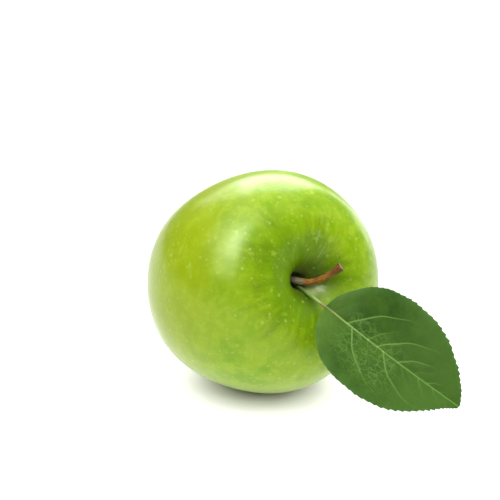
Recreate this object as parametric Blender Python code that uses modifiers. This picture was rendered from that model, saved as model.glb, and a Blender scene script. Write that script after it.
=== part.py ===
"""A green apple as picked, lying on its side, with its stem, one leaf and the dried calyx.

Metres, +Z up. The origin is the centre of the small flat spot that the fruit rests on.
The stem end faces -Y, turned towards +X and tipped up, and the calyx end is at the back.
Lengths in the lists and functions below are in millimetres, until a mesh is made.
"""

import math

import bmesh
import bpy
import numpy as np
from mathutils import Euler, Matrix, Vector

MM = 0.001

# The fruit has its own frame: +Z along the core towards the stem, 0 at the widest level, +X
# level and to the right as seen by someone who looks at the stem end, +Y up the stem end.
GIRTH_RADIUS = 38.0
STEM_END_TURN = math.radians(33)
STEM_END_RISE = math.radians(17.5)
FLAT_SPOT_DEPTH = 0.5

# Half of the cut through the core, as the control points of a smooth curve:
# (distance from the core, height above the widest level), from the stem's pit to the calyx.
FRUIT_PROFILE = (
    (0.0, 13.6),
    (2.9, 13.8),
    (3.1, 17.4),
    (4.2, 21.6),
    (6.6, 25.6),
    (11.5, 28.4),
    (18.0, 29.6),
    (26.3, 27.3),
    (33.3, 20.6),
    (37.8, 11.0),
    (39.2, 0.0),
    (37.8, -11.5),
    (33.7, -22.5),
    (27.6, -32.5),
    (20.5, -40.3),
    (13.5, -44.2),
    (7.5, -42.6),
    (3.8, -38.6),
    (2.0, -37.1),
    (0.0, -37.0),
)
FRUIT_MERIDIANS = 60
FRUIT_RINGS = 44

# How the round fruit departs from a turned shape.
GIRTH_OVAL = 0.018
CROWN_LOBES = 5
CROWN_LOBE_HEIGHT = 1.0
CROWN_RIM_AT = 0.79
FLANK_RIB = 0.009

# The stem, in the fruit's frame: it leaves the pit along the core and bends to the right.
STEM_ROUTE = (
    (-0.5, 0.5, 14.0),
    (-0.3, 0.2, 16.7),
    (0.3, -0.4, 19.1),
    (1.5, -1.2, 21.5),
    (3.2, -1.4, 24.0),
    (4.9, -0.7, 26.6),
    (6.6, 0.3, 29.0),
    (8.3, 1.5, 31.0),
    (9.0, 2.0, 31.7),
)
STEM_RADIUS = 1.08
STEM_END_SWELLING = 0.32

# The leaf's stalk, in the fruit's frame: from beside the stem, over the edge of the pit.
LEAFSTALK_ROUTE = (
    (0.9, -1.5, 15.4),
    (0.9, -2.1, 17.8),
    (0.4, -2.95, 20.2),
    (0.2, -4.1, 22.8),
    (0.0, -5.6, 25.8),
    (0.2, -7.2, 28.6),
)
LEAFSTALK_RADIUS = 0.52
MIDRIB_END_RADIUS = 0.28
MIDRIB_LENGTH_SHARE = 0.86

# The blade has its own frame: +X from its base to its tip, +Y to its upper margin, and +Z
# out of its upper face.
BLADE_BASE = (19.5, -30.05, 38.2)
BLADE_ROLL = math.radians(49)
BLADE_DROOP = math.radians(37)
BLADE_HEADING = math.radians(-6)
BLADE_LENGTH = 54.0
BLADE_THICKNESS = 0.4
MIDRIB_BOW = -1.1
BLADE_ARCH = 1.6
BLADE_FOLD = 0.13
BLADE_WAVE = 0.5
BLADE_TEETH = 24
TOOTH_SIZE = 0.6
BLADE_COLUMNS = 10

# The two margins, as control points: (distance from the base, distance from the middle).
UPPER_MARGIN = (
    (0.3, 0.4),
    (0.8, 4.3),
    (5.0, 10.1),
    (11.4, 16.0),
    (22.0, 18.9),
    (33.5, 17.3),
    (43.5, 12.6),
    (50.5, 6.9),
    (54.0, 0.4),
)
LOWER_MARGIN = (
    (0.3, -0.4),
    (-0.5, -6.5),
    (2.8, -13.8),
    (9.8, -18.3),
    (20.0, -20.0),
    (31.0, -18.0),
    (41.0, -11.9),
    (49.0, -4.1),
    (54.0, -0.4),
)

# One sepal in the calyx basin, as control points: (distance from the core, height).
SEPAL_ROUTE = ((2.95, -37.85), (2.4, -39.3), (1.75, -40.9), (1.6, -42.4), (2.7, -43.9))
SEPAL_COUNT = 5
SEPAL_HALF_WIDTH = 0.95
SEPAL_THICKNESS = 0.35
# The tuft of dried stamens between the sepals: (distance from the core, height).
STAMEN_PROFILE = ((0.55, -40.6), (0.95, -39.5), (0.85, -38.0), (0.6, -36.8))
STAMEN_SIDES = 12

SKIN_GREEN = (0.33, 0.50, 0.04, 1)
STEM_BROWN = (0.21, 0.085, 0.02, 1)
LEAF_GREEN = (0.065, 0.145, 0.025, 1)
CALYX_BROWN = (0.10, 0.06, 0.03, 1)


def b_spline(controls, at):
    """Points of the uniform cubic B-spline through `controls`, at parameters counted in spans."""
    controls = np.asarray(controls, float)
    first = np.clip(np.floor(at).astype(int), 0, len(controls) - 4)
    t = (at - first)[:, None]
    weights = ((1 - t) ** 3, 3 * t**3 - 6 * t**2 + 4, -3 * t**3 + 3 * t**2 + 3 * t + 1, t**3)
    return sum(weight * controls[first + k] for k, weight in enumerate(weights)) / 6


def smooth_curve(points, share):
    """Where the smooth curve that starts and ends at the outer `points` is, at shares 0 to 1."""
    points = np.asarray(points, float)
    before = 2 * points[0] - points[1]
    after = 2 * points[-1] - points[-2]
    return b_spline(np.vstack([before, points, after]), share * (len(points) - 1))


def fruit_profile(share):
    """(distance from the core, height) at shares from 0, in the stem's pit, to 1, at the calyx."""
    points = np.array(FRUIT_PROFILE)
    across_the_core = np.array([-1.0, 1.0])
    controls = np.vstack([points[1] * across_the_core, points, points[-2] * across_the_core])
    spans = len(points) - 1
    widest = b_spline(controls, np.linspace(0, spans, 400))[:, 0].max()
    return b_spline(controls, share * spans) * GIRTH_RADIUS / widest


def fruit_surface(share, around):
    """The profile carried round the core, slightly oval, with a low crown of lobes at the calyx."""
    radius, height = fruit_profile(share).T
    crown = np.exp(-(((share - CROWN_RIM_AT) / 0.075) ** 2))
    flank = np.exp(-(((share - CROWN_RIM_AT + 0.12) / 0.17) ** 2))
    lobes = np.cos(CROWN_LOBES * around + 0.6)
    oval = GIRTH_OVAL * np.cos(2 * around) * np.minimum(1, radius / 20)
    radius = radius * (1 + oval + FLANK_RIB * lobes * flank)
    height = height - CROWN_LOBE_HEIGHT * lobes * crown
    return np.stack([radius * np.cos(around), radius * np.sin(around), height], axis=-1)


def fruit_axes():
    """The fruit's X, Y and Z directions in the world, as the columns of a rotation."""
    turn, rise = STEM_END_TURN, STEM_END_RISE
    core = Vector((math.sin(turn) * math.cos(rise), -math.cos(turn) * math.cos(rise), math.sin(rise)))
    right = Vector((math.cos(turn), math.sin(turn), 0))
    return Matrix((right, core.cross(right), core)).transposed()


def blade_surface(along, across):
    """The blade at shares `along` from base to tip and `across` from -1 to 1, folded a little
    at the midrib, arched along it, and waved and toothed at the margins."""
    upper, lower = smooth_curve(UPPER_MARGIN, along), smooth_curve(LOWER_MARGIN, along)
    margin = np.where((across >= 0)[:, None], upper, lower)
    middle = np.stack([along * BLADE_LENGTH, MIDRIB_BOW * np.sin(np.pi * along)], axis=-1)
    outward = margin - middle
    reach = np.linalg.norm(outward, axis=-1, keepdims=True)
    tooth = np.round(along * 2 * BLADE_TEETH) % 2 * np.sin(np.pi * along) ** 0.5
    at_margin = (np.abs(across) > 1 - 1e-6) * tooth * TOOTH_SIZE
    flat = middle + outward * np.abs(across)[:, None]
    flat = flat + at_margin[:, None] * (outward / reach + np.array([0.8, 0.0]))
    from_middle = np.abs(across) * reach[:, 0]
    rise = BLADE_ARCH * np.sin(np.pi * along) + BLADE_FOLD * (np.hypot(from_middle, 1.5) - 1.5)
    wave = BLADE_WAVE * across**2 * np.sin(19 * along + 1.7 * np.sign(across))
    return np.column_stack([flat, rise + wave])


def sepal_surface(along, across):
    """A pointed strip that follows SEPAL_ROUTE and curves round the core."""
    radius, height = smooth_curve(SEPAL_ROUTE, along).T
    half_width = SEPAL_HALF_WIDTH * (1 - along**1.6) ** 0.8 + 0.12
    angle = across * half_width / radius
    return np.stack([radius * np.cos(angle), radius * np.sin(angle), height], axis=-1)


def make_material(name, colour, roughness):
    material = bpy.data.materials.new(name)
    material.use_nodes = True
    material.diffuse_color = colour
    shader = material.node_tree.nodes["Principled BSDF"]
    shader.inputs["Base Color"].default_value = colour
    shader.inputs["Roughness"].default_value = roughness
    shader.inputs["Metallic"].default_value = 0.0
    return material


def add_object(name, data, material, parent, collection):
    made = bpy.data.objects.new(name, data)
    data.materials.append(material)
    made.parent = parent
    collection.objects.link(made)
    return made


def add_frame(name, matrix, collection):
    frame = bpy.data.objects.new(name, None)
    frame.empty_display_size = 0.01
    frame.matrix_world = matrix
    collection.objects.link(frame)
    return frame


def move_points(bm, surface, first, second):
    """Moves every vertex to `surface` of its two parameters, which is given in millimetres."""
    for vertex, point in zip(bm.verts, surface(first, second)):
        vertex.co = Vector(point) * MM


def mesh_from(bm, name):
    bmesh.ops.recalc_face_normals(bm, faces=bm.faces)
    mesh = bpy.data.meshes.new(name)
    bm.to_mesh(mesh)
    bm.free()
    mesh.shade_smooth()
    mesh.set_sharp_from_angle(angle=math.radians(40))
    return mesh


def fruit_placing():
    """The fruit's frame in the world: its lowest point, found on a fine grid of its surface, is
    put under the origin by the flat spot's depth."""
    axes = fruit_axes()
    share, around = np.meshgrid(np.linspace(0, 1, 700), np.linspace(0, 2 * np.pi, 900))
    points = fruit_surface(share.ravel(), around.ravel()) @ np.array(axes).T
    lowest = points[points[:, 2].argmin()]
    place = Vector((-lowest[0], -lowest[1], -lowest[2] - FLAT_SPOT_DEPTH)) * MM
    return Matrix.Translation(place) @ axes.to_4x4()


def fruit_mesh(frame):
    """A sphere's vertices moved to the fruit's surface, then cut at the flat spot."""
    bm = bmesh.new()
    bmesh.ops.create_uvsphere(bm, u_segments=FRUIT_MERIDIANS, v_segments=FRUIT_RINGS, radius=1)
    points = np.array([vertex.co for vertex in bm.verts])
    share = np.arccos(np.clip(points[:, 2], -1, 1)) / np.pi
    move_points(bm, fruit_surface, share, np.arctan2(points[:, 1], points[:, 0]))
    bmesh.ops.bisect_plane(
        bm,
        geom=bm.verts[:] + bm.edges[:] + bm.faces[:],
        plane_co=frame.inverted() @ Vector((0, 0, 0)),
        plane_no=frame.to_3x3().transposed() @ Vector((0, 0, 1)),
        clear_inner=True,
    )
    bmesh.ops.holes_fill(bm, edges=[edge for edge in bm.edges if edge.is_boundary])
    return mesh_from(bm, "fruit")


def sheet_mesh(name, surface, rows, columns):
    """A grid of rows along and columns across, moved to a surface."""
    bm = bmesh.new()
    bmesh.ops.create_grid(bm, x_segments=rows, y_segments=columns, size=1)
    points = np.array([vertex.co for vertex in bm.verts])
    move_points(bm, surface, (points[:, 0] + 1) / 2, points[:, 1])
    return mesh_from(bm, name)


def thicken(sheet, thickness):
    solidify = sheet.modifiers.new("thickness", "SOLIDIFY")
    solidify.thickness = thickness * MM
    solidify.offset = 0


def tube_curve(name, route, radii, bevel_resolution):
    """A round tube along points in millimetres, with its radius in millimetres at each."""
    curve = bpy.data.curves.new(name, "CURVE")
    curve.dimensions = "3D"
    curve.bevel_depth = MM
    curve.bevel_resolution = bevel_resolution
    curve.use_fill_caps = True
    spline = curve.splines.new("POLY")
    spline.points.add(len(route) - 1)
    for point, place, radius in zip(spline.points, route, radii):
        point.co = (*(Vector(place) * MM), 1)
        point.radius = radius
    spline.use_smooth = True
    return curve


def mesh_of_tube(name, curve):
    """The curve's tube as a mesh, with its caps welded to its sides."""
    helper = bpy.data.objects.new(name, curve)
    bpy.context.scene.collection.objects.link(helper)
    bpy.context.view_layer.update()
    mesh = bpy.data.meshes.new_from_object(helper.evaluated_get(bpy.context.evaluated_depsgraph_get()))
    bpy.data.objects.remove(helper)
    bm = bmesh.new()
    bm.from_mesh(mesh)
    bmesh.ops.remove_doubles(bm, verts=bm.verts, dist=0.00001)
    bpy.data.meshes.remove(mesh)
    return mesh_from(bm, name)


for old in list(bpy.data.objects):
    bpy.data.objects.remove(old, do_unlink=True)
apple = bpy.data.collections.new("apple")
joiners = bpy.data.collections.new("joiners")
for collection in (apple, joiners):
    bpy.context.scene.collection.children.link(collection)

# Fruit
fruit_frame = add_frame("fruit_frame", fruit_placing(), apple)
skin_green = make_material("apple skin", SKIN_GREEN, 0.35)
add_object("fruit", fruit_mesh(fruit_frame.matrix_world), skin_green, fruit_frame, apple)

# Stem
share = np.linspace(0, 1, 22)
swelling = STEM_END_SWELLING * np.clip((share - 0.75) / 0.2, 0, 1) ** 1.5
rounding = 0.25 * np.clip((share - 0.96) / 0.04, 0, 1)
stem_curve = tube_curve("stem", smooth_curve(STEM_ROUTE, share), STEM_RADIUS + swelling - rounding, 4)
add_object("stem", stem_curve, make_material("stem bark", STEM_BROWN, 0.65), fruit_frame, apple)

# Leaf
leaf_green = make_material("leaf", LEAF_GREEN, 0.5)
turning = Euler((BLADE_ROLL, BLADE_DROOP, BLADE_HEADING)).to_matrix().to_4x4()
leaf_frame = add_frame("leaf_frame", Matrix.Translation(Vector(BLADE_BASE) * MM) @ turning, apple)
blade_rows = 2 * BLADE_TEETH
leaf = add_object(
    "leaf", sheet_mesh("leaf", blade_surface, blade_rows, BLADE_COLUMNS), leaf_green, leaf_frame, apple
)
thicken(leaf, BLADE_THICKNESS)

to_leaf = leaf_frame.matrix_world.inverted() @ fruit_frame.matrix_world
stalk = [to_leaf @ (Vector(point) * MM) / MM for point in LEAFSTALK_ROUTE]
midrib = blade_surface(np.linspace(0.02, MIDRIB_LENGTH_SHARE, 10), np.zeros(10))
share = np.linspace(0, 1, 40)
radii = LEAFSTALK_RADIUS + (MIDRIB_END_RADIUS - LEAFSTALK_RADIUS) * np.clip((share - 0.3) / 0.4, 0, 1)
rib_curve = tube_curve("leafstalk", smooth_curve([*stalk, *midrib], share), radii, 2)
leafstalk = add_object("leafstalk", mesh_of_tube("leafstalk", rib_curve), leaf_green, leaf_frame, joiners)
leafstalk.hide_render = True
leafstalk.display_type = "WIRE"
union = leaf.modifiers.new("stalk and midrib", "BOOLEAN")
union.operation = "UNION"
union.object = leafstalk

# Calyx
calyx_brown = make_material("dried calyx", CALYX_BROWN, 0.8)
sepal_mesh = sheet_mesh("sepal", sepal_surface, 8, 4)
for number in range(SEPAL_COUNT):
    sepal = add_object(f"sepal_{number + 1}", sepal_mesh, calyx_brown, fruit_frame, apple)
    sepal.rotation_euler.z = 2 * math.pi * number / SEPAL_COUNT
    thicken(sepal, SEPAL_THICKNESS)

bm = bmesh.new()
tuft = [Vector((radius, 0, height)) * MM for radius, height in STAMEN_PROFILE]
axis_ends = [Vector((0, 0, height)) * MM for height in (STAMEN_PROFILE[0][1], STAMEN_PROFILE[-1][1])]
corners = [bm.verts.new(point) for point in (axis_ends[0], *tuft, axis_ends[1])]
for start, end in zip(corners, corners[1:]):
    bm.edges.new((start, end))
bmesh.ops.spin(
    bm,
    geom=bm.verts[:] + bm.edges[:],
    axis=(0, 0, 1),
    angle=2 * math.pi,
    steps=STAMEN_SIDES,
)
bmesh.ops.remove_doubles(bm, verts=bm.verts, dist=0.00001)
add_object("dried_stamens", mesh_from(bm, "dried_stamens"), calyx_brown, fruit_frame, apple)
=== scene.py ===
"""The looks of a green apple that lies on its side, with its stem, one leaf and its calyx.

The world is in metres, +Z up. Lengths are in millimetres until a mesh is made of them, and
patterns, lamps and the camera are in metres.
"""

import math

import bmesh
import bpy
import numpy as np
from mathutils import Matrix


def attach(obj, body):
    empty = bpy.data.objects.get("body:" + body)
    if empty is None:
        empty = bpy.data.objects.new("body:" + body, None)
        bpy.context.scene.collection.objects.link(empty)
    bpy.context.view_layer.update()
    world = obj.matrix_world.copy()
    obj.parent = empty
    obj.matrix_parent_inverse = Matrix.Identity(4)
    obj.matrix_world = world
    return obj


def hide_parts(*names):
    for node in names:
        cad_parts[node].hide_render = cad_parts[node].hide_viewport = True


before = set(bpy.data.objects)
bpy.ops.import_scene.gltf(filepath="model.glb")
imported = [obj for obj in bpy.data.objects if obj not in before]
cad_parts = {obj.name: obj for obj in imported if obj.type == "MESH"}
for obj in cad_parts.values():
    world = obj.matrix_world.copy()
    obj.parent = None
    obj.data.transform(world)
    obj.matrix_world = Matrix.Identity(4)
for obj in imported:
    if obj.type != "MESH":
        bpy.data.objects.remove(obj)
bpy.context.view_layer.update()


# ---- Fruit --------------------------------------------------------------------------------
# The apple itself: firm flesh under a thin waxed skin, yellow green and speckled with pale
# dots. Its skin is one closed surface, the outline of a cut through the core carried round
# it, and it is flat only where it rests. The stem's pit is a deeper green, partly the skin's
# own colour and partly painted shade.

MM = 0.001
GIRTH_RADIUS = 38.0
STEM_END_TURN = math.radians(33)
STEM_END_RISE = math.radians(17.5)
FLAT_SPOT_DEPTH = 0.5
# (distance from the core, height above the widest level), from the pit's floor to the calyx.
FRUIT_PROFILE = (
    (0.0, 13.6), (2.9, 13.8), (3.1, 17.4), (4.2, 21.6), (6.6, 25.6), (11.5, 28.4), (18.0, 29.6),
    (26.3, 27.3), (33.3, 20.6), (37.8, 11.0), (39.2, 0.0), (37.8, -11.5), (33.7, -22.5),
    (27.6, -32.5), (20.5, -40.3), (13.5, -44.2), (7.5, -42.6), (3.8, -38.6), (2.0, -37.1),
    (0.0, -37.0),
)
GIRTH_OVAL = 0.018
CROWN_LOBES = 5
LOBE_TURN = 0.6
CROWN_LOBE_HEIGHT = 1.0
FLANK_RIB = 0.009
DENT_DEPTH = 0.22
PIT_FOLD = 0.11
BASIN_BOSS = 0.45
BASIN_WRINKLE = 0.12
PIT_LIP = 1.0
PIT_LIP_OPENING = 0.8
PIT_FLOOR_RISE = 2.2
# Where the features lie along the profile, as shares: the middle and the width of a bell curve.
PIT_FLOOR = (0.0, 0.085)
PIT_THROAT = (0.15, 0.055)
PIT_WALL = (0.2, 0.06)
FLANK = (0.67, 0.17)
CROWN_RIM = (0.79, 0.075)
CALYX_RING = (0.862, 0.03)
BASIN_WALL = (0.885, 0.035)
# Directions round the core, from the fruit's X.
STALK_SIDE = math.radians(-80)
PIT_OPEN_SIDE = math.radians(185)
RUSSET_SIDE = math.radians(62)
WAXED_SIDE = math.radians(-50)
SKIN_RINGS = 290
SKIN_MERIDIANS = 320


def b_spline(controls, at):
    """Points of the uniform cubic B-spline through controls, at parameters counted in spans:
    each point is the sum of four controls, weighted by the cubic blending polynomials."""
    controls = np.asarray(controls, float)
    first = np.clip(np.floor(at).astype(int), 0, len(controls) - 4)
    t = (at - first)[..., None]
    weights = ((1 - t) ** 3, 3 * t**3 - 6 * t**2 + 4, -3 * t**3 + 3 * t**2 + 3 * t + 1, t**3)
    return sum(weight * controls[first + k] for k, weight in enumerate(weights)) / 6


def bell(value, middle, width):
    """1 at the middle and falling as exp(-x squared), with x the distance in widths."""
    return np.exp(-(((value - middle) / width) ** 2))


def on_side(around, side):
    """1 on one side of the core and fading round it: exp(2.2 (cos(around - side) - 1))."""
    return np.exp(2.2 * (np.cos(around - side) - 1))


def unit(vectors):
    return vectors / np.linalg.norm(vectors, axis=-1, keepdims=True)


def fruit_profile(share):
    """(distance from the core, height) at shares from 0, in the stem's pit, to 1, at the calyx:
    the B-spline through the profile, mirrored past the core so that both poles are level."""
    points = np.array(FRUIT_PROFILE)
    across_the_core = np.array([-1.0, 1.0])
    controls = np.vstack([points[1] * across_the_core, points, points[-2] * across_the_core])
    spans = len(points) - 1
    widest = b_spline(controls, np.linspace(0, spans, 400))[:, 0].max()
    return b_spline(controls, share * spans) * GIRTH_RADIUS / widest


def fruit_surface(share, around):
    """The profile carried round the core. The radius is stretched by cos(2 around), for an oval
    girth, and by cos(5 around) on the flank, and cos(5 around) lowers the crown's rim between
    its lobes. The oval fades towards the core, and the others by a bell curve in the share."""
    radius, height = np.moveaxis(fruit_profile(share), -1, 0)
    lobes = np.cos(CROWN_LOBES * around + LOBE_TURN)
    oval = GIRTH_OVAL * np.cos(2 * around) * np.minimum(1, radius / 20)
    radius = radius * (1 + oval + FLANK_RIB * lobes * bell(share, *FLANK))
    height = height - CROWN_LOBE_HEIGHT * lobes * bell(share, *CROWN_RIM)
    return np.stack([radius * np.cos(around), radius * np.sin(around), height], axis=-1)


def skin_surface(share, around):
    """The fruit's surface with what the solid leaves out. First the pit's throat closes to a
    lip, except beside the stalk and on the open side, and the pit's floor is raised, both by
    bell curves in the share. Then comes a relief along the outward direction: shallow dents, a
    sum of three slow sines of place; folds round the pit and wrinkles in the basin, products of
    sines around and bell curves in the share; and five bosses round the calyx."""
    points = fruit_surface(share, around)
    radius = np.hypot(points[..., 0], points[..., 1])
    opened = np.maximum(on_side(around, STALK_SIDE), on_side(around, PIT_OPEN_SIDE))
    lip = PIT_LIP * bell(share, *PIT_THROAT) * (1 - PIT_LIP_OPENING * opened)
    points[..., :2] *= (1 - lip / np.maximum(radius, 1.5))[..., None]
    points[..., 2] += PIT_FLOOR_RISE * bell(share, *PIT_FLOOR)

    x, y, z = np.moveaxis(points, -1, 0) / GIRTH_RADIUS
    dents = np.sin(3.1 * x + 1.7 * z + 0.4) + np.sin(2.7 * y - 2.3 * z + 2.0)
    dents = dents + np.sin(3.7 * z + 2.1 * x - y)
    folds = np.sin(7 * around + 1.5 * np.sin(2 * around))
    folds = folds + 0.6 * np.sin(17 * around + 2 * np.sin(3 * around))
    bosses = np.cos(CROWN_LOBES * around + LOBE_TURN)
    wrinkles = np.sin(25 * around + 3 * np.sin(2 * around)) + np.sin(41 * around)
    relief = DENT_DEPTH * dents * np.clip((share - 0.2) / 0.15, 0, 1)
    relief = relief + PIT_FOLD * folds * bell(share, *PIT_WALL)
    relief = relief + BASIN_BOSS * bosses * bell(share, *CALYX_RING)
    relief = relief + BASIN_WRINKLE * wrinkles * bell(share, *BASIN_WALL)
    return points + unit(points) * relief[..., None]


def fruit_axes():
    """The fruit's X, Y and Z directions in the world, as the columns of a rotation: Z is the
    core, turned and tipped up, X is level and Y completes them."""
    turn, rise = STEM_END_TURN, STEM_END_RISE
    level = math.cos(rise)
    core = np.array([math.sin(turn) * level, -math.cos(turn) * level, math.sin(rise)])
    right = np.array([math.cos(turn), math.sin(turn), 0.0])
    return np.stack([right, np.cross(core, right), core], axis=1)


def fruit_place():
    """Where the fruit's centre is: its lowest point, found on a fine grid, goes under the origin
    by the flat spot's depth."""
    share, around = np.meshgrid(np.linspace(0, 1, 700), np.linspace(0, 2 * np.pi, 900))
    points = fruit_surface(share, around) @ fruit_axes().T
    lowest = points.reshape(-1, 3)[points[..., 2].argmin()]
    return -lowest - np.array([0, 0, FLAT_SPOT_DEPTH])


FRUIT_CENTRE = fruit_place()


def from_fruit_frame(points):
    return points @ fruit_axes().T + FRUIT_CENTRE


def ring_grid(shares, sides):
    """Each share paired with each of the angles of one whole turn: two arrays, rows by sides."""
    return np.meshgrid(shares, np.arange(sides) * 2 * np.pi / sides, indexing="ij")


def round_and_along(around, share):
    """What the patterns of a round piece follow: (cos around, sin around, share)."""
    return np.stack([np.cos(around), np.sin(around), share], axis=-1)


def surface_mesh(name, points, poles=False, attributes=None):
    """A mesh from a grid of points in millimetres, rows by columns, whose last column joins its
    first. With poles each end row is drawn together to one point, the mean of the row, and its
    faces are a fan of triangles. Attributes are vectors at the same grid, by name."""
    rows, columns = points.shape[:2]
    number = np.arange(rows * columns).reshape(rows, columns)
    kept = np.ones((rows, columns), bool)
    if poles:
        points = points.copy()
        points[[0, -1]] = points[[0, -1]].mean(axis=1, keepdims=True)
        kept[[0, -1], 1:] = False
        number[[0, -1]] = number[[0, -1], :1]
    number = np.concatenate([number, number[:, :1]], axis=1)
    renumbered = np.cumsum(kept.ravel()) - 1
    corners = [number[:-1, :-1], number[1:, :-1], number[1:, 1:], number[:-1, 1:]]
    faces = renumbered[np.stack(corners, axis=-1)]
    quads, fans = faces, []
    if poles:
        quads = faces[1:-1]
        fans = faces[0][:, [0, 1, 2]].tolist() + faces[-1][:, [0, 1, 3]].tolist()
    mesh = bpy.data.meshes.new(name)
    mesh.from_pydata((points[kept] * MM).tolist(), [], quads.reshape(-1, 4).tolist() + fans)
    for label, values in (attributes or {}).items():
        layer = mesh.attributes.new(label, "FLOAT_VECTOR", "POINT")
        layer.data.foreach_set("vector", np.ascontiguousarray(values[kept], np.float32).ravel())
    mesh.shade_smooth()
    return mesh


def add_piece(name, mesh, material):
    piece = bpy.data.objects.new(name, mesh)
    mesh.materials.append(material)
    bpy.context.scene.collection.objects.link(piece)
    return piece


class Wire:
    """A shader socket that can be written in sums: each operator adds one Math node."""

    def __init__(self, tree, socket=None):
        self.tree = tree
        self.socket = socket

    def node(self, kind, settings=None, inputs=None, out=0):
        """A new node of any kind in the same tree: its settings first, then its sockets, each
        a plain value or a wire. out is the socket that the new wire is taken from."""
        made = self.tree.nodes.new("ShaderNode" + kind)
        for key, value in (settings or {}).items():
            setattr(made, key, value)
        for key, value in (inputs or {}).items():
            if isinstance(value, Wire):
                self.tree.links.new(value.socket, made.inputs[key])
            else:
                made.inputs[key].default_value = value
        return Wire(self.tree, made.outputs[out])

    def math(self, operation, *values):
        return self.node("Math", {"operation": operation}, dict(enumerate(values)))

    def __add__(self, other):
        return self.math("ADD", self, other)

    def __radd__(self, other):
        return self.math("ADD", other, self)

    def __sub__(self, other):
        return self.math("SUBTRACT", self, other)

    def __rsub__(self, other):
        return self.math("SUBTRACT", other, self)

    def __mul__(self, other):
        return self.math("MULTIPLY", self, other)

    def __rmul__(self, other):
        return self.math("MULTIPLY", other, self)

    def step(self, start, end):
        """0 before start, 1 after end and smooth between them; start may be the larger."""
        limits = {"Value": self, "From Min": start, "From Max": end}
        return self.node("MapRange", {"interpolation_type": "SMOOTHSTEP"}, limits)

    def mix(self, low, high):
        """The colour low where this is 0 and high where it is 1, either of them plain or wired."""
        return self.node("Mix", {"data_type": "RGBA"}, {0: self, 6: low, 7: high}, out=2)

    def place(self):
        """Where each point of the piece is, in metres."""
        return self.node("TexCoord", out="Object")

    def attribute(self, name):
        return self.node("Attribute", {"attribute_name": name}, out="Vector")

    def parts(self):
        return [self.node("SeparateXYZ", {}, {0: self}, out=axis) for axis in ("X", "Y", "Z")]

    def scaled(self, x, y, z):
        return self.node("VectorMath", {"operation": "MULTIPLY"}, {0: self, 1: (x, y, z)})

    def facing(self, side):
        """The cosine of the angle round the core between this direction and a side."""
        direction = (math.cos(side), math.sin(side), 0.0)
        return self.node("VectorMath", {"operation": "DOT_PRODUCT"}, {0: self, 1: direction}, out=1)

    def noise(self, scale, detail, roughness, distortion=0.0):
        inputs = {"Vector": self, "Scale": scale, "Detail": detail, "Roughness": roughness}
        return self.node("TexNoise", {}, inputs | {"Distortion": distortion})

    def cells(self, scale, out, feature="F1"):
        """A Voronoi texture of round cells, scale of them to a unit: out names what is read."""
        return self.node("TexVoronoi", {"feature": feature}, {"Vector": self, "Scale": scale}, out=out)

    def feeds(self, shader, socket):
        self.tree.links.new(self.socket, shader.inputs[socket])

    def raises(self, shader, depth, strength):
        """This height, in depths, as the shader's bump."""
        bump = self.node("Bump", {}, {"Height": self, "Distance": depth, "Strength": strength})
        bump.feeds(shader, "Normal")


def new_material(name, **plain_values):
    """A material, its Principled shader with these plain values, and a wire to build from."""
    material = bpy.data.materials.new(name)
    material.use_nodes = True
    shader = material.node_tree.nodes["Principled BSDF"]
    for socket, value in plain_values.items():
        shader.inputs[socket.replace("_", " ")].default_value = value
    return material, shader, Wire(material.node_tree)


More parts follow.
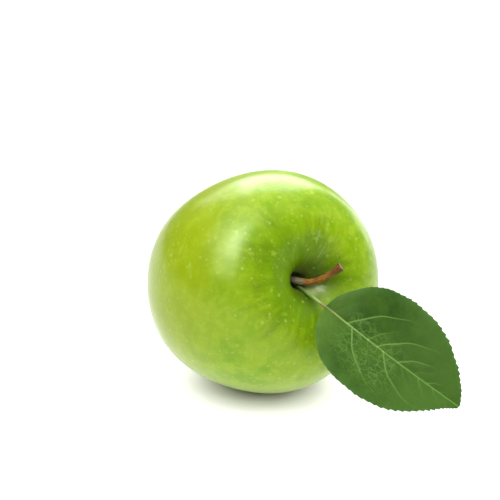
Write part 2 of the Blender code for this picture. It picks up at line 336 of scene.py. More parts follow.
def skin_material():
    """Waxed skin. The ground runs from leaf green to yellow green in clouds, finer mottling and
    faint streaks along the meridians, with a yellow cheek and a paler, scurfy flank near the
    ground, partly its own colour and partly a painted reflection of the white floor. Round the
    pit the green is deeper, partly its own colour and partly painted shade, the throat is
    darkened by painted shade, a painted glint lies by the stalk and grey russet lines run up
    its side. Pale dots cover it all."""
    material, shader, wire = new_material(
        "apple skin",
        Subsurface_Weight=0.08,
        Subsurface_Radius=(0.7, 1.0, 0.25),
        Subsurface_Scale=0.002,
        IOR=1.2,
        Coat_Roughness=0.23,
        Coat_IOR=1.4,
    )
    place = wire.place()
    meridian = wire.attribute("meridian")
    across, _, height = place.parts()
    rightwards, _, share = meridian.parts()

    clouds = place.noise(42, 3, 0.55)
    mottling = place.noise(170, 4, 0.65)
    patches = place.noise(330, 3, 0.65, 0.4)
    flecks = place.noise(680, 3, 0.6)
    streaks = meridian.scaled(4.5, 4.5, 5.0).noise(2.0, 4, 0.6)
    ground = clouds * 0.8 + mottling * 0.8 + streaks * 0.28 - 0.44
    deep_green = (0.125, 0.255, 0.003, 1)
    leaf_green = (0.182, 0.335, 0.002, 1)
    yellow_green = (0.245, 0.385, 0.004, 1)
    colour = ground.step(0.30, 0.68).mix(leaf_green, yellow_green)
    colour = (ground.step(0.46, 0.26) * 0.15).mix(colour, deep_green)

    # The yellow cheek on the left. Nearer the ground the flank is paler, with pale scurf on it:
    # partly the skin's own paler colour, partly a painted reflection of the white floor.
    cheek = (across * -28 + height * 9 + clouds * 0.8 - 0.95).step(0.0, 0.55)
    colour = (cheek * 0.7).mix(colour, (0.295, 0.372, 0.002, 1))
    pale_flank_and_floor_reflection = (height * -38 + mottling * 0.7 + 0.45).step(0.0, 0.9)
    flank_green = (0.300, 0.435, 0.040, 1)
    lowest_green = (0.430, 0.540, 0.150, 1)
    palest_and_floor_reflection = (height * -100).step(-1.8, -0.4).mix(flank_green, lowest_green)
    colour = (pale_flank_and_floor_reflection * 0.8).mix(colour, palest_and_floor_reflection)
    pale_patches = (patches + mottling * 0.4).step(0.62, 0.92)
    colour = (pale_patches * 0.5).mix(colour, (0.300, 0.450, 0.018, 1))
    low_down = (height * -25).step(-0.6, -0.15)
    scurf = place.noise(560, 4, 0.75).step(0.53, 0.68) * clouds.step(0.40, 0.62) * low_down
    colour = (scurf * 0.6).mix(colour, (0.400, 0.520, 0.130, 1))

    # The pit's deeper green, partly the skin's own colour and partly painted shade in the hollow:
    # its edge comes and goes round it, with pale rays across the edge.
    angle = meridian.scaled(1, 1, 0)
    reach = angle.noise(3.2, 3, 0.6)
    broken = meridian.scaled(6, 6, 11).noise(1.5, 4, 0.7)
    stain_and_pit_shade = share - reach * 0.15 - broken * 0.12 - mottling * 0.22 + rightwards * 0.03
    colour = (stain_and_pit_shade.step(0.11, 0.0) * 0.85).mix(colour, (0.095, 0.200, 0.001, 1))
    rays = meridian.scaled(5, 5, 6).noise(1.6, 5, 0.75).step(0.50, 0.68) * patches.step(0.45, 0.60)
    near_pit = share.step(0.21, 0.27) * share.step(0.44, 0.30)
    colour = (rays * near_pit * 0.45).mix(colour, (0.290, 0.440, 0.010, 1))

    # The throat is painted dark green as shade in the hollow, and its bottom olive. By the
    # stalk its side is painted a brighter green with a paler spot in it, a painted glint, and
    # grey russet lines run up the side across from it.
    stalk_side = angle.facing(WAXED_SIDE)
    throat = (share + clouds * 0.05 - stalk_side * 0.02).step(0.28, 0.20)
    bottom_olive = (0.140, 0.175, 0.035, 1)
    throat_shade_green = (0.060, 0.118, 0.001, 1)
    colour = (throat * 0.9).mix(colour, share.step(0.12, 0.20).mix(bottom_olive, throat_shade_green))
    # A brighter green beside the stalk and a pale spot in it: a painted glint.
    painted_glint_surround = stalk_side.step(0.75, 1.0) * share.step(0.18, 0.25) * share.step(0.40, 0.30)
    colour = (painted_glint_surround * 0.5).mix(colour, (0.320, 0.500, 0.030, 1))
    painted_glint = stalk_side.step(0.80, 0.95) * share.step(0.12, 0.16) * share.step(0.22, 0.18)
    colour = (painted_glint * 0.55).mix(colour, (0.600, 0.740, 0.300, 1))
    russet_side = angle.facing(RUSSET_SIDE)
    russet = russet_side.step(0.82, 0.96) * share.step(0.13, 0.20) * share.step(0.36, 0.26)
    lines = meridian.scaled(9, 9, 4).noise(1.5, 3, 0.7).step(0.50, 0.70) * patches.step(0.40, 0.58)
    colour = (russet * lines * 0.6).mix(colour, (0.310, 0.370, 0.150, 1))

    # Pale dots, some of them rings with a darker heart, finer flecks and a few brown specks.
    dot = place.cells(380, "Distance")
    size_draw, kept_draw, heart_draw = place.cells(380, "Color").parts()
    dot_size = size_draw * 0.15 + 0.05
    dots = (dot_size + flecks * 0.12 - dot).step(-0.05, 0.10) * kept_draw.step(0.10, 0.20)
    hearts = (dot_size * 0.35 - dot).step(-0.02, 0.02) * heart_draw.step(0.5, 0.55)
    dashes = (flecks + mottling * 0.5).step(0.84, 1.0) * share.step(0.2, 0.3)
    colour = (dashes * 0.5).mix(colour, (0.320, 0.470, 0.035, 1))
    colour = (dots * (heart_draw * 0.45 + 0.15)).mix(colour, (0.390, 0.530, 0.110, 1))
    colour = (hearts * dots * 0.6).mix(colour, (0.150, 0.240, 0.010, 1))
    specks = place.cells(95, "Distance").step(0.030, 0.018)
    colour = (specks * 0.55).mix(colour, (0.100, 0.090, 0.020, 1))
    colour.feeds(shader, "Base Color")

    # Wax, duller in patches, on a faintly pitted skin. The pit has none, except on its side by
    # the stalk.
    (mottling * 0.16 + throat * 0.1 + 0.24).feeds(shader, "Roughness")
    waxed = (share + mottling * 0.1 + stalk_side.step(0.2, 0.9) * 0.22).step(0.30, 0.44)
    ((clouds.step(0.3, 0.7) * 0.15 + 0.35) * waxed).feeds(shader, "Coat Weight")
    (mottling * 0.5 + flecks * 0.2 - dots * 0.1).raises(shader, 0.0003, 0.9)
    return material


share, around = ring_grid(np.linspace(0, 1, SKIN_RINGS), SKIN_MERIDIANS)
skin_points = from_fruit_frame(skin_surface(share, around))
skin_points[..., 2] = np.maximum(skin_points[..., 2], 0)
skin_mesh = surface_mesh("fruit_skin", skin_points, True, {"meridian": round_and_along(around, share)})
skin = add_piece("fruit_skin", skin_mesh, skin_material())
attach(skin, "root")
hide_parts("fruit")


# ---- Stem ---------------------------------------------------------------------------------
# The woody stem that held the fruit to its twig. It grows out of the pit, bends to the right
# and swells into a knobbly end with a pale cut face. It is a tube with bark ridges.

# In the fruit's own axes, from the root to the middle of the cut face.
STEM_ROUTE = (
    (-0.55, 0.55, 12.6), (-0.5, 0.5, 14.0), (-0.3, 0.2, 16.7), (0.3, -0.4, 19.1), (1.5, -1.2, 21.5),
    (3.2, -1.4, 24.0), (4.9, -0.7, 26.6), (6.6, 0.3, 29.0), (8.3, 1.5, 31.0), (9.0, 2.0, 31.7),
)
STEM_RADIUS = 1.08
STEM_END_SWELLING = 0.42
STEM_WAIST = 0.10
STEM_KNOBS = 0.16
BARK_RIDGE = 0.06
CUT_FACE_LIP = 0.22
CUT_FACE_HOLLOW = 0.28
CUT_FACE_SHARE = 0.1
STEM_ROWS = 170
CUT_FACE_ROWS = 21
STEM_SIDES = 56


def smooth_curve(points, share):
    """The B-spline through points, with one more point mirrored past each end, so that it
    starts and ends at the outer points."""
    points = np.asarray(points, float)
    before = 2 * points[0] - points[1]
    after = 2 * points[-1] - points[-2]
    return b_spline(np.vstack([before, points, after]), share * (len(points) - 1))


def tube_surface(route, along, around, radius, level=(0.0, 1.0, 0.0)):
    """A tube round a smooth route: centre + radius * (cos(around) * side + sin(around) * up),
    where up is level x tangent and side is tangent x up, both of length 1. Rows past 1 in
    along close the end: they stay at the end's centre, moved on by the tangent."""
    held = np.clip(along, 0, 1)
    centre = smooth_curve(route, held)
    ahead = smooth_curve(route, np.minimum(held + 0.005, 1))
    behind = smooth_curve(route, np.maximum(held - 0.005, 0))
    tangent = unit(ahead - behind)
    up = unit(np.cross(np.array(level), tangent))
    side = np.cross(tangent, up)
    spoke = np.cos(around)[..., None] * side + np.sin(around)[..., None] * up
    return centre + spoke * radius[..., None], tangent


def stem_surface(along, around):
    """A tube whose radius swells towards the end, with ridges: sines around that wander along
    it, and rings of sines along it. Past 1 the radius shrinks to 0 over the cut face, which has
    a raised lip, half a sine high, and a slightly hollow middle."""
    swelling = STEM_END_SWELLING * np.clip((along - 0.76) / 0.2, 0, 1) ** 1.5
    waist = STEM_WAIST * bell(along, 0.6, 0.2)
    ridges = np.sin(5 * around + 9 * along) + 0.7 * np.sin(9 * around - 14 * along + 1)
    rings = np.sin(70 * along + 2 * np.sin(around)) + np.sin(43 * along + 3 * np.cos(2 * around))
    knobs = STEM_KNOBS * np.sin(3 * around + 0.8) * bell(along, 0.97, 0.05)
    radius = STEM_RADIUS + swelling - waist + BARK_RIDGE * (ridges + 0.35 * rings) + knobs
    closing = np.clip((along - 1) / CUT_FACE_SHARE, 0, 1)
    radius = radius * (1 - closing) * (1 - 0.10 * bell(along, 1.0, 0.012))
    points, tangent = tube_surface(STEM_ROUTE, along, around, radius)
    lip = CUT_FACE_LIP * np.sin(np.pi * np.clip(closing * 2.2, 0, 1))
    hollow = CUT_FACE_HOLLOW * np.clip(closing * 1.6 - 0.35, 0, 1)
    unevenness = 1 + 0.5 * np.sin(2 * around + 1)
    return points + tangent * ((lip - hollow) * unevenness)[..., None]


def stem_material():
    """Bark: grey where it leaves the pit, orange brown along its middle and dull red near the
    end, in streaks along it, with dark lenticels. The cut face is pale brown with a dark rim."""
    material, shader, wire = new_material("stem bark", IOR=1.25)
    bark = wire.attribute("bark")
    along = bark.parts()[2]
    place = wire.place()
    streaks = bark.scaled(1, 1, 5).noise(3.2, 4, 0.65)
    blotches = place.noise(420, 3, 0.6)
    fine = place.noise(1500, 2, 0.6)

    dark_brown, orange_brown = (0.170, 0.062, 0.005, 1), (0.480, 0.200, 0.020, 1)
    colour = (streaks + blotches * 0.5 - 0.25).step(0.3, 0.75).mix(dark_brown, orange_brown)
    reddish = (along + blotches * 0.3 - streaks * 0.15).step(0.72, 0.92)
    colour = (reddish * 0.85).mix(colour, (0.100, 0.040, 0.008, 1))
    greyish = (along + blotches * 0.14 - 0.07).step(0.50, 0.30)
    colour = (greyish * 0.85).mix(colour, (0.500, 0.470, 0.310, 1))
    lenticels = place.cells(900, "Distance").step(0.16, 0.06) * blotches.step(0.45, 0.6)
    colour = (lenticels * 0.7).mix(colour, (0.050, 0.018, 0.010, 1))

    dark_wood, pale_wood = (0.200, 0.110, 0.050, 1), (0.420, 0.300, 0.170, 1)
    cut_face = along.step(1.004, 1.012)
    colour = cut_face.mix(colour, blotches.step(0.3, 0.7).mix(dark_wood, pale_wood))
    rim = along.step(0.975, 0.995) * along.step(1.02, 1.008) * blotches.step(0.42, 0.5)
    colour = (rim * 0.85).mix(colour, (0.045, 0.014, 0.010, 1))
    colour.feeds(shader, "Base Color")
    (fine * 0.3 + 0.38).feeds(shader, "Roughness")
    (streaks * 0.9 + fine * 0.4 - lenticels * 0.4).raises(shader, 0.00016, 0.8)
    return material


bark_rows = np.linspace(0, 1, STEM_ROWS)
cut_face_rows = np.linspace(1, 1 + CUT_FACE_SHARE, CUT_FACE_ROWS + 1)[1:]
along, around = ring_grid(np.concatenate([bark_rows, cut_face_rows]), STEM_SIDES)
stem_points = from_fruit_frame(stem_surface(along, around))
stem_mesh = surface_mesh("woody_stem", stem_points, True, {"bark": round_and_along(around, along)})
stem = add_piece("woody_stem", stem_mesh, stem_material())
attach(stem, "root")
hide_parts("stem")


# ---- Leaf ---------------------------------------------------------------------------------
# One leaf on its own stalk, tucked into the pit beside the stem: a thin toothed blade, satin
# above and matt below, with sunken veins above that stand out below. The blade is one closed
# sheet, and the stalk runs on under it as the midrib.

BLADE_BASE = (19.5, -30.05, 38.2)
BLADE_ROLL = math.radians(49)
BLADE_DROOP = math.radians(37)
BLADE_HEADING = math.radians(-6)
BLADE_LENGTH = 54.0
BLADE_THICKNESS = 0.36
MIDRIB_BOW = -1.1
BLADE_ARCH = 1.6
BLADE_FOLD = 0.13
FOLD_ROUNDING = 1.5
BLADE_WAVE = 0.5
BLADE_RIPPLE = 0.16
BLADE_TEETH = 38
TOOTH_SIZE = 0.62
TOOTH_LEAN = 0.7
# The margins on the flat blade, from its base to its tip: (along, across).
UPPER_MARGIN = (
    (0.3, 0.4), (0.8, 4.3), (5.0, 10.1), (11.4, 16.0), (22.0, 18.9), (33.5, 17.3), (43.5, 12.6),
    (50.5, 6.9), (54.0, 0.4),
)
LOWER_MARGIN = (
    (0.3, -0.4), (-0.5, -6.5), (2.8, -13.8), (9.8, -18.3), (20.0, -20.0), (31.0, -18.0),
    (41.0, -11.9), (49.0, -4.1), (54.0, -0.4),
)
# The side veins. Each has its start along the midrib, its side, its length, its angles to the
# midrib at its start and at its end in degrees, and its strength.
SIDE_VEINS = (
    (3.5, 1, 13.0, 66, 40, 0.35), (8.8, 1, 27.0, 58, 12, 1.0), (17.0, 1, 14.0, 62, 30, 0.6),
    (20.7, 1, 25.0, 54, 4, 0.9), (28.8, 1, 16.5, 47, 2, 0.8), (35.0, 1, 11.0, 48, 14, 0.4),
    (40.3, 1, 7.5, 42, 12, 0.6), (45.5, 1, 4.5, 42, 20, 0.4), (2.5, -1, 15.0, 74, 48, 0.3),
    (10.8, -1, 26.0, 72, 8, 1.0), (17.0, -1, 12.0, 70, 42, 0.45), (23.2, -1, 24.0, 64, -12, 0.95),
    (30.5, -1, 14.0, 56, 10, 0.45), (37.3, -1, 9.0, 58, 16, 0.6), (43.0, -1, 6.5, 50, 14, 0.5),
    (48.0, -1, 3.2, 46, 20, 0.4),
)
VEIN_WAVER = 5
VEIN_WIDTH = 0.25
VEIN_DEPTH_ABOVE = 0.12
VEIN_HEIGHT_BELOW = 0.264
QUILT_DEPTH = 0.30
QUILT_WIDTH = 1.7
MIDRIB_GROOVE = 0.22
BLADE_ROWS = 310
BLADE_TURN = 280


def blade_outline(along, across):
    """The flat blade at shares along from base to tip and across from -1 to 1: the point on the
    bowed midrib plus |across| of the way to the margin, and near the margin a saw tooth that
    leans to the tip and fades towards both ends. Returns the points and the half widths."""
    upper, lower = smooth_curve(UPPER_MARGIN, along), smooth_curve(LOWER_MARGIN, along)
    margin = np.where((across >= 0)[..., None], upper, lower)
    middle = np.stack([along * BLADE_LENGTH, MIDRIB_BOW * np.sin(np.pi * along)], axis=-1)
    outward = margin - middle
    reach = np.linalg.norm(outward, axis=-1, keepdims=True)
    phase = along * BLADE_TEETH + 0.35 * np.sin(9 * along + 2 * np.sign(across))
    saw = (phase % 1) ** 1.3 * np.clip((1 - phase % 1) / 0.16, 0, 1)
    growth = np.clip(np.where(across >= 0, along / 0.6, along / 0.8), 0.12, 1)
    size = TOOTH_SIZE * growth * np.sin(np.pi * along) ** 0.4 * (1 + 0.25 * np.sin(40 * along))
    leaning = outward / reach + np.array([TOOTH_LEAN, 0.0])
    tooth = (np.abs(across) ** 14 * saw * size)[..., None] * leaning
    return middle + outward * np.abs(across)[..., None] + tooth, reach[..., 0]


def vein_route(start, side, length, first_angle, last_angle):
    """A side vein: from the midrib, turning from its first angle to its last with a small sine
    added. Each point is the running sum of steps in the direction of the angle there."""
    share = np.linspace(0, 1, 24)
    wavering = VEIN_WAVER * np.sin(15 * share + start)
    angle = np.radians(first_angle + (last_angle - first_angle) * share + wavering)
    step = length / len(share)
    x = start + (np.cumsum(np.cos(angle)) - np.cos(angle[0])) * step
    y = side * (np.cumsum(np.sin(angle)) - np.sin(angle[0])) * step
    y = y + MIDRIB_BOW * math.sin(math.pi * start / BLADE_LENGTH)
    return np.stack([x, y, share], axis=-1)


def vein_relief(flat):
    """How near each flat point is to the side veins, as the largest of a bell curve of the
    distance to each: a narrow one, which thins out towards the vein's end, and a wide one for
    the hollow that the vein lies in."""
    narrow, wide = np.zeros(flat.shape[:2]), np.zeros(flat.shape[:2])
    for vein in SIDE_VEINS:
        route = vein_route(*vein[:-1])
        apart = np.full(flat.shape[:2], 99.0)
        nearest = np.zeros(flat.shape[:2])
        for begin, end in zip(route, route[1:]):
            run = end[:2] - begin[:2]
            passed = np.clip((flat - begin[:2]) @ run / (run @ run), 0, 1)
            here = np.linalg.norm(flat - begin[:2] - passed[..., None] * run, axis=-1)
            nearest = np.where(here < apart, begin[2] + passed * (end[2] - begin[2]), nearest)
            apart = np.minimum(apart, here)
        strength = vein[-1] * (1 - nearest**2 * 0.75)
        narrow = np.maximum(narrow, strength * bell(apart, 0, VEIN_WIDTH * (1.15 - 0.5 * nearest)))
        wide = np.maximum(wide, (1 - nearest**2) * bell(apart, 0, QUILT_WIDTH))
    return narrow, wide


def blade_surface(along, turn):
    """The closed sheet: turn goes once round its section, over the upper face from the lower
    margin to the upper one, and back below. Across is a blend of -cos(turn) and a straight
    run, and half the thickness is a steep tanh of sin(turn), so the margin is round. The sheet
    is arched along by half a sine, folded at the midrib by a hyperbola, waved at the margins by
    sines and hollow along its veins. Also returned is what the patterns follow: how near a
    vein is, and the place on the flat."""
    straight = 1 - np.abs(turn / np.pi - 1)
    across = 0.3 * -np.cos(turn) + 0.7 * (2 * straight - 1)
    flat, reach = blade_outline(along, across)
    from_middle = np.abs(across) * reach
    arch = BLADE_ARCH * np.sin(np.pi * along)
    fold = BLADE_FOLD * (np.hypot(from_middle, FOLD_ROUNDING) - FOLD_ROUNDING)
    wave = BLADE_WAVE * across**2 * np.sin(19 * along + 1.7 * np.sign(across))
    ripple = BLADE_RIPPLE * np.abs(across) ** 3 * np.sin(61 * along + 2.2 * np.sign(across))
    narrow, wide = vein_relief(flat)
    midrib = bell(from_middle, 0, 0.42 - 0.22 * along)
    trough = bell(from_middle, 0, 1.3)
    hollow = QUILT_DEPTH * np.maximum(wide, trough) * np.sin(np.pi * along) ** 0.5
    sunken = MIDRIB_GROOVE * (0.7 * midrib - trough) - VEIN_DEPTH_ABOVE * narrow
    relief = np.where(np.sin(turn) >= 0, sunken, -VEIN_HEIGHT_BELOW * narrow)
    half_thickness = BLADE_THICKNESS / 2 * np.tanh(5 * np.sin(turn))
    height = arch + fold + wave + ripple - hollow + half_thickness + relief
    veins = np.stack([np.maximum(narrow, midrib), flat[..., 0], flat[..., 1]], axis=-1)
    return np.concatenate([flat, height[..., None]], axis=-1), veins


def to_blade_place(points):
    """The points turned about X by the roll, about Y by the droop and about Z by the heading,
    then moved to the blade's base. A turn takes two axes (a, b) to (a cos - b sin,
    a sin + b cos)."""
    placed = points.copy()
    for angle, a, b in ((BLADE_ROLL, 1, 2), (BLADE_DROOP, 2, 0), (BLADE_HEADING, 0, 1)):
        first, second = placed[..., a].copy(), placed[..., b].copy()
        placed[..., a] = first * math.cos(angle) - second * math.sin(angle)
        placed[..., b] = first * math.sin(angle) + second * math.cos(angle)
    return placed + np.array(BLADE_BASE)


def leaf_material():
    """Leaf green, darker in patches and lighter towards the tip and the margin, with a painted
    sheen near the base, pale veins and a fine net of them near the midrib. Below it is greyer,
    paler and more matt."""
    material, shader, wire = new_material(
        "leaf",
        Subsurface_Weight=0.06,
        Subsurface_Radius=(0.5, 1.0, 0.2),
        Subsurface_Scale=0.0008,
        IOR=1.2,
    )
    vein, x, y = wire.attribute("veins").parts()
    upward, edge, _ = wire.attribute("face").parts()
    upper = upward.step(-0.02, 0.02)
    flat = wire.node("CombineXYZ", {}, {0: x, 1: y})
    patches = flat.noise(0.075, 3, 0.6)
    mottling = flat.noise(0.55, 4, 0.65)

    # The net is the borders of cells, on a flat blade whose places wander by a noise.
    wander = flat.node("TexNoise", {}, {"Vector": flat, "Scale": 0.55, "Detail": 3.0}, out="Color")
    wandering = wire.node(
        "VectorMath", {"operation": "MULTIPLY_ADD"}, {0: wander, 1: (2.4, 2.4, 0), 2: flat}
    )
    borders = wandering.scaled(0.55, 1.0, 1.0).cells(0.55, "Distance", "DISTANCE_TO_EDGE")
    net = borders.step(0.085, 0.01)
    fine_net = wandering.cells(1.25, "Distance", "DISTANCE_TO_EDGE").step(0.11, 0.02)

    dark_green, blade_green = (0.016, 0.056, 0.002, 1), (0.038, 0.098, 0.005, 1)
    colour = (patches + mottling * 0.35 - 0.17).step(0.32, 0.68).mix(dark_green, blade_green)
    colour = (x.step(14, 38) * 0.6).mix(colour, (0.062, 0.140, 0.018, 1))
    colour = (edge.step(0.72, 1.0) * 0.30).mix(colour, (0.060, 0.150, 0.032, 1))
    # Lighter near the base: a painted sheen.
    colour = (x.step(14, 0) * 0.5).mix(colour, (0.100, 0.200, 0.024, 1))
    net_colour = (0.095, 0.200, 0.032, 1)
    wavy = patches * 6 - 3
    around_midrib = (y + x * 0.1 + wavy).step(-15, -7) * (y + wavy).step(6, 1)
    net_weight = around_midrib * x.step(4, 12) * x.step(34, 24) * 0.50 + 0.05
    colour = (net * net_weight * 1.2).mix(colour, net_colour)
    colour = (fine_net * net_weight * 0.7).mix(colour, net_colour)
    colour = (vein.step(0.10, 0.85) * 0.85).mix(colour, (0.145, 0.285, 0.055, 1))

    grey_green, pale_green = (0.150, 0.235, 0.085, 1), (0.205, 0.300, 0.120, 1)
    below = (mottling * 0.4 + patches * 0.4 + 0.1).step(0.3, 0.7).mix(grey_green, pale_green)
    veins_below = vein.step(0.15, 0.7) * 0.7 + net * 0.25
    below = veins_below.mix(below, (0.330, 0.420, 0.190, 1))
    upper.mix(below, colour).feeds(shader, "Base Color")
    (0.66 - upper * 0.12 + mottling * 0.12).feeds(shader, "Roughness")
    (mottling * 0.4 - net * 0.25 - fine_net * 0.15).raises(shader, 0.00016, 0.9)
    return material


along, turn = ring_grid(np.linspace(0, 1, BLADE_ROWS), BLADE_TURN)
blade_points, veins = blade_surface(along, turn)
# How far a point faces up, from -1 to 1, how near the margin it is, and its share along.
face = np.stack([np.sin(turn), np.abs(1 - np.abs(turn / np.pi - 1) * 2), along], axis=-1)
blade_mesh = surface_mesh(
    "leaf_blade", to_blade_place(blade_points), True, {"veins": veins, "face": face}
)
blade = add_piece("leaf_blade", blade_mesh, leaf_material())
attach(blade, "root")
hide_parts("leaf")


# ---- Leaf stalk ---------------------------------------------------------------------------
# The leaf's stalk, soft and green, flushed red where it meets the blade. It rises from beside
# the stem, lies over the edge of the pit and runs on under the blade as the midrib.

# In the fruit's own axes, from the pit's floor to just before the blade.
STALK_ROUTE = (
    (0.7, -1.1, 14.2), (0.9, -1.5, 15.4), (0.9, -2.1, 17.8), (0.4, -2.95, 20.2), (0.2, -4.1, 22.8),
    (0.0, -5.6, 25.8), (0.2, -7.2, 28.6),
)
STALK_RADIUS = 0.50
MIDRIB_END_RADIUS = 0.16
MIDRIB_DEPTH = 0.22
BLADE_STARTS_AT = 0.36
STALK_ROWS = 220
STALK_SIDES = 32


def stalk_route():
    """The stalk's points, brought to the world, then points under the middle of the blade."""
    share = np.linspace(0.02, 0.97, 12)
    x, y = share * BLADE_LENGTH, MIDRIB_BOW * np.sin(np.pi * share)
    half_sine = np.sin(np.pi * share)
    z = BLADE_ARCH * half_sine - QUILT_DEPTH * half_sine**0.5 - MIDRIB_DEPTH
    midrib = to_blade_place(np.stack([x, y, z], axis=-1))
    return np.vstack([from_fruit_frame(np.array(STALK_ROUTE)), midrib])


def stalk_surface(along, around):
    """A tube whose radius falls almost evenly past the blade's base. It is wider than deep just
    before it, by cos(2 around), has fine ridges that wind along it, a sine of both, and closes
    to a point at each end."""
    taper = np.clip((along - BLADE_STARTS_AT) / 0.6, 0, 1)
    radius = STALK_RADIUS + (MIDRIB_END_RADIUS - STALK_RADIUS) * taper**0.8
    radius = radius * (1 + 0.10 * bell(along, 0.33, 0.08) * np.cos(2 * around + 0.9))
    radius = radius + 0.02 * np.sin(7 * around + 20 * along)
    radius = radius * np.clip((1 - along) / 0.01, 0, 1) ** 0.5 * np.clip(along / 0.004, 0, 1)
    return tube_surface(stalk_route(), along, around, radius, level=(0.2, 0.5, 0.85))[0]


def stalk_material():
    """Pale green, streaked along it, flushed reddish brown just where the blade starts, and
    darker where it starts in the pit, a painted shade.
    """
    material, shader, wire = new_material(
        "leaf stalk", Subsurface_Weight=0.08, Subsurface_Scale=0.001, IOR=1.45
    )
    fibre = wire.attribute("fibre")
    along = fibre.parts()[2]
    streaks = fibre.scaled(1, 1, 9).noise(3, 3, 0.6)
    fine = wire.place().noise(1400, 2, 0.5)
    colour = streaks.step(0.3, 0.7).mix((0.150, 0.275, 0.045, 1), (0.270, 0.400, 0.100, 1))
    uneven = along + streaks * 0.05
    flush = uneven.step(0.355, 0.385) * uneven.step(0.49, 0.41)
    colour = (flush * 0.7).mix(colour, (0.230, 0.090, 0.035, 1))
    # Darker where the stalk starts in the pit: painted shade of the hollow.
    colour = (along.step(0.18, 0.04) * 0.6).mix(colour, (0.13, 0.17, 0.03, 1))
    colour.feeds(shader, "Base Color")
    (fine * 0.2 + 0.36).feeds(shader, "Roughness")
    (streaks + fine * 0.2).raises(shader, 0.00008, 0.8)
    return material


along, around = ring_grid(np.linspace(0, 1, STALK_ROWS), STALK_SIDES)
stalk_points = stalk_surface(along, around)
stalk_mesh = surface_mesh("leaf_stalk", stalk_points, True, {"fibre": round_and_along(around, along)})
stalk = add_piece("leaf_stalk", stalk_mesh, stalk_material())
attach(stalk, "root")
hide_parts("leaf")


# ---- Calyx --------------------------------------------------------------------------------
# What is left of the flower in the basin at the far end: five dry sepals that stand in a ring
# and curl outwards, downy in patches. Each is a thin closed sheet that grows out of the skin.

# (distance from the core, height above the widest level), from the root to the point.
SEPAL_ROUTE = (
    (3.3, -36.9), (2.95, -37.85), (2.4, -39.3), (1.75, -40.9), (1.6, -42.4), (2.7, -43.9), (4.1, -44.2),
)
SEPAL_COUNT = 5
SEPAL_HALF_WIDTH = 1.15
SEPAL_THICKNESS = 0.32
SEPAL_CURL = 0.55
SEPAL_TWIST = 0.22
SEPAL_ROWS = 60
SEPAL_TURN = 48


def sepal_surface(along, turn, number):
    """A pointed sheet round the core: across is -cos(turn) and half the thickness follows
    sin(turn). It follows the route outwards and down, its width narrows to a point, and it
    twists and crinkles a little, each one differently."""
    across = -np.cos(turn)
    radius, height = np.moveaxis(smooth_curve(SEPAL_ROUTE, along), -1, 0)
    half_width = SEPAL_HALF_WIDTH * (1 - along**1.7) ** 0.8 + 0.05 * (1 - along)
    crinkle = 0.16 * across * np.sin(9 * along + 2.1 * number)
    crinkle = crinkle + 0.10 * np.sin(17 * along + 5 * across + number)
    curl = SEPAL_CURL * across**2 * along
    half_thickness = SEPAL_THICKNESS / 2 * np.sin(turn) * (1 - along**4)
    radius = radius + crinkle * along - curl + half_thickness
    height = height + 0.25 * np.sin(5 * number) * along
    angle = across * half_width / np.maximum(radius, 1.2) + 2 * np.pi * number / SEPAL_COUNT
    angle = angle + SEPAL_TWIST * np.sin(3 * number + 1) * along**2
    return np.stack([radius * np.cos(angle), radius * np.sin(angle), height], axis=-1)


def sepal_material():
    """Dry sepal: brown with paler veins along it and grey down in patches, quite matt."""
    material, shader, wire = new_material("dry sepal", IOR=1.4)
    strip = wire.attribute("strip")
    fibres = strip.scaled(9, 9, 1.5).noise(1.6, 3, 0.6)
    down = wire.place().noise(1100, 3, 0.7)
    colour = fibres.step(0.3, 0.7).mix((0.075, 0.040, 0.018, 1), (0.235, 0.145, 0.070, 1))
    colour = (down.step(0.48, 0.66) * 0.55).mix(colour, (0.42, 0.36, 0.26, 1))
    colour = (strip.parts()[2].step(0.28, 0.02) * 0.7).mix(colour, (0.20, 0.22, 0.05, 1))
    colour.feeds(shader, "Base Color")
    (down * 0.2 + 0.68).feeds(shader, "Roughness")
    (fibres + down * 0.8).raises(shader, 0.00015, 1.0)
    return material


along, turn = ring_grid(np.linspace(0, 1, SEPAL_ROWS), SEPAL_TURN)
strip = round_and_along(turn, along)
dry_sepal = sepal_material()
for number in range(SEPAL_COUNT):
    sepal_points = from_fruit_frame(sepal_surface(along, turn, number))
    name = f"dry_sepal_{number + 1}"
    sepal = add_piece(name, surface_mesh(name, sepal_points, True, {"strip": strip}), dry_sepal)
    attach(sepal, "root")
    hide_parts(f"sepal_{number + 1}")


# ---- Dried stamens ------------------------------------------------------------------------
# The tuft in the middle of the calyx: dried stamens, each a thin dark thread with a small
# brown head, crowded round the core. One mesh of many closed tubes, set round by a formula.

STAMEN_COUNT = 16
STAMEN_RADIUS = 0.09
STAMEN_HEAD = 0.15
STAMEN_FOOT_HEIGHT = -36.4
GOLDEN_TURN = 2.4
STAMEN_ROWS = 26
STAMEN_SIDES = 10


def stamen_surface(along, around, number):
    """One thread: it starts at an angle of the golden turn times its number, further out the
    higher the number, and leans and bends by sines of the number. Its radius is a thin taper
    plus a bell curve for the head."""
    angle = GOLDEN_TURN * number
    foot = 0.18 + 0.62 * math.sqrt(number / STAMEN_COUNT)
    lean = 0.35 * math.sin(4.1 * number) + 0.15
    length = 4.6 + 0.8 * math.sin(7.3 * number)
    centre_radius = foot + lean * along**2
    bend = 0.25 * math.cos(5.7 * number) * along**2
    centre = np.stack([
        centre_radius * math.cos(angle) - bend * math.sin(angle),
        centre_radius * math.sin(angle) + bend * math.cos(angle),
        STAMEN_FOOT_HEIGHT - length * along,
    ], axis=-1)
    radius = STAMEN_RADIUS * (1.2 - 0.5 * along) + STAMEN_HEAD * bell(along, 0.93, 0.05)
    radius = radius * np.clip((1 - along) / 0.02, 0, 1) ** 0.5
    ring = np.stack([np.cos(around), -np.sin(around), 0 * around], axis=-1)
    return centre + ring * radius[..., None]


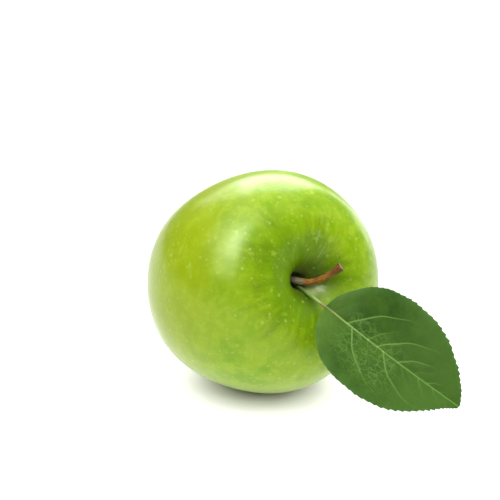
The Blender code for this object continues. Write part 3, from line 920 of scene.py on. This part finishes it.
def stamen_material():
    """Nearly black threads with lighter brown heads, dull."""
    material, shader, wire = new_material("dried stamen", IOR=1.4)
    along = wire.attribute("thread").parts()[2]
    grain = wire.place().noise(1600, 3, 0.6)
    colour = grain.step(0.3, 0.7).mix((0.040, 0.022, 0.012, 1), (0.130, 0.075, 0.035, 1))
    colour = (along.step(0.8, 0.9) * 0.7).mix(colour, (0.26, 0.16, 0.08, 1))
    colour.feeds(shader, "Base Color")
    (grain * 0.2 + 0.7).feeds(shader, "Roughness")
    grain.raises(shader, 0.00008, 1.0)
    return material


along, around = ring_grid(np.linspace(0, 1, STAMEN_ROWS), STAMEN_SIDES)
thread = round_and_along(around, along)
gathered = bmesh.new()
for number in range(STAMEN_COUNT):
    thread_points = from_fruit_frame(stamen_surface(along, around, number))
    thread_mesh = surface_mesh(f"thread_{number}", thread_points, True, {"thread": thread})
    gathered.from_mesh(thread_mesh)
    bpy.data.meshes.remove(thread_mesh)
tuft_mesh = bpy.data.meshes.new("stamen_tuft")
gathered.to_mesh(tuft_mesh)
gathered.free()
tuft = add_piece("stamen_tuft", tuft_mesh, stamen_material())
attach(tuft, "root")
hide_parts("dried_stamens")


# ---- Stage --------------------------------------------------------------------------------
# A plain white floor that runs far back to a round white wall. Soft cards behind, on the right
# and in front on the left only shine in the wax, and a ceiling and two more cards give the
# even light. The camera looks down a little.

FLOOR_HALF_WIDTH = 8000
FLOOR_LEVEL = -0.05
floor_corners = np.array([(-1, -1, 0), (1, -1, 0), (1, 1, 0), (-1, 1, 0)]) * FLOOR_HALF_WIDTH
floor_mesh = bpy.data.meshes.new("floor")
floor_mesh.from_pydata(((floor_corners + [0, 0, FLOOR_LEVEL]) * MM).tolist(), [], [(0, 1, 2, 3)])
floor_material, floor_shader, wire = new_material(
    "white floor", Roughness=0.7, Specular_IOR_Level=0.1, Emission_Strength=0.9
)
place = wire.place()
grain = place.noise(60, 2, 0.5)
grain.mix((0.74, 0.74, 0.74, 1), (0.76, 0.76, 0.76, 1)).feeds(floor_shader, "Base Color")

# The floor glows a little in a ring round the fruit, and far off, where it fades to white.
away = wire.node("VectorMath", {"operation": "LENGTH"}, {0: place}, out=1)
glow = away.step(0.008, 0.030) * (away.step(0.12, 0.04) * 0.6 + 0.05) + away.step(0.5, 1.6)
glow.mix((0, 0, 0, 1), (1, 0.95, 1, 1)).feeds(floor_shader, "Emission Color")
floor = add_piece("floor", floor_mesh, floor_material)

# The wall stands beyond the lights. It is seen, but lights nothing and shows in no reflection.
WALL_RADIUS = 7000
WALL_HEIGHT = 6000
WALL_SIDES = 96
level, around = ring_grid([0, WALL_HEIGHT], WALL_SIDES)
wall_points = np.stack([WALL_RADIUS * np.cos(around), WALL_RADIUS * np.sin(around), level], axis=-1)
wall = add_piece("wall", surface_mesh("wall", wall_points), floor_material)
wall.visible_diffuse = False
wall.visible_glossy = False

LIGHTS_AIM_HEIGHT = 0.037


def soft_light(name, azimuth, elevation, distance, width, height, radiance, seen_in):
    """A rectangle of even radiance that faces the object: seen from it, the light stands at
    azimuth, from +Y towards +X, and elevation, in degrees. Its power is radiance * pi * area.
    seen_in is gloss for a card that only shines in the wax, or shade for one that only
    lights."""
    light = bpy.data.lights.new(name, "AREA")
    light.shape = "RECTANGLE"
    light.size = width
    light.size_y = height
    light.energy = radiance * math.pi * width * height
    lamp = bpy.data.objects.new(name, light)
    turn, rise = math.radians(azimuth), math.radians(elevation)
    towards = (math.sin(turn) * math.cos(rise), math.cos(turn) * math.cos(rise), math.sin(rise))
    lamp.location = [distance * part for part in towards]
    lamp.location.z += LIGHTS_AIM_HEIGHT
    lamp.rotation_euler = (math.pi / 2 - rise, 0, math.pi - turn)
    lamp.visible_glossy = seen_in == "gloss"
    lamp.visible_diffuse = seen_in == "shade"
    bpy.context.scene.collection.objects.link(lamp)


soft_light("back softbox", 8, 44, 1.0, 0.72, 0.70, 7.5, "gloss")
soft_light("back softbox side", -24, 40, 1.0, 0.36, 0.60, 2.6, "gloss")
soft_light("right strip", 29, 9, 1.0, 0.10, 0.46, 4.0, "gloss")
soft_light("right strip low", 44, 4, 1.0, 0.16, 0.30, 3.5, "gloss")
soft_light("front window", -155, 52, 1.00, 0.36, 0.44, 12.0, "gloss")
soft_light("window glow", -152, 46, 1.02, 0.80, 0.95, 5.0, "gloss")
soft_light("window veil", -132, 64, 1.04, 1.00, 1.00, 2.6, "gloss")
soft_light("window haze", -140, 56, 1.06, 1.20, 1.20, 1.3, "shade")
soft_light("right fill", 75, 40, 1.04, 0.80, 0.80, 3.3, "shade")
soft_light("ceiling", 0, 89, 1.4, 2.6, 2.6, 2.2, "shade")

WORLD_STRENGTH = 0.15
world = bpy.data.worlds.new("studio")
bpy.context.scene.world = world
world.use_nodes = True
world.node_tree.nodes["Background"].inputs["Color"].default_value = (1, 1, 1, 1)
world.node_tree.nodes["Background"].inputs["Strength"].default_value = WORLD_STRENGTH

CAMERA_PLACE = (-0.00408, -0.37915, 0.16328)
CAMERA_DOWN = math.radians(17)
camera_data = bpy.data.cameras.new("camera")
camera_data.lens = 85
camera_data.sensor_width = 36
camera_data.clip_start = 0.01
camera = bpy.data.objects.new("camera", camera_data)
camera.location = CAMERA_PLACE
camera.rotation_euler = (math.pi / 2 - CAMERA_DOWN, 0, 0)
bpy.context.scene.collection.objects.link(camera)
bpy.context.scene.camera = camera
bpy.context.scene.view_settings.view_transform = "Standard"
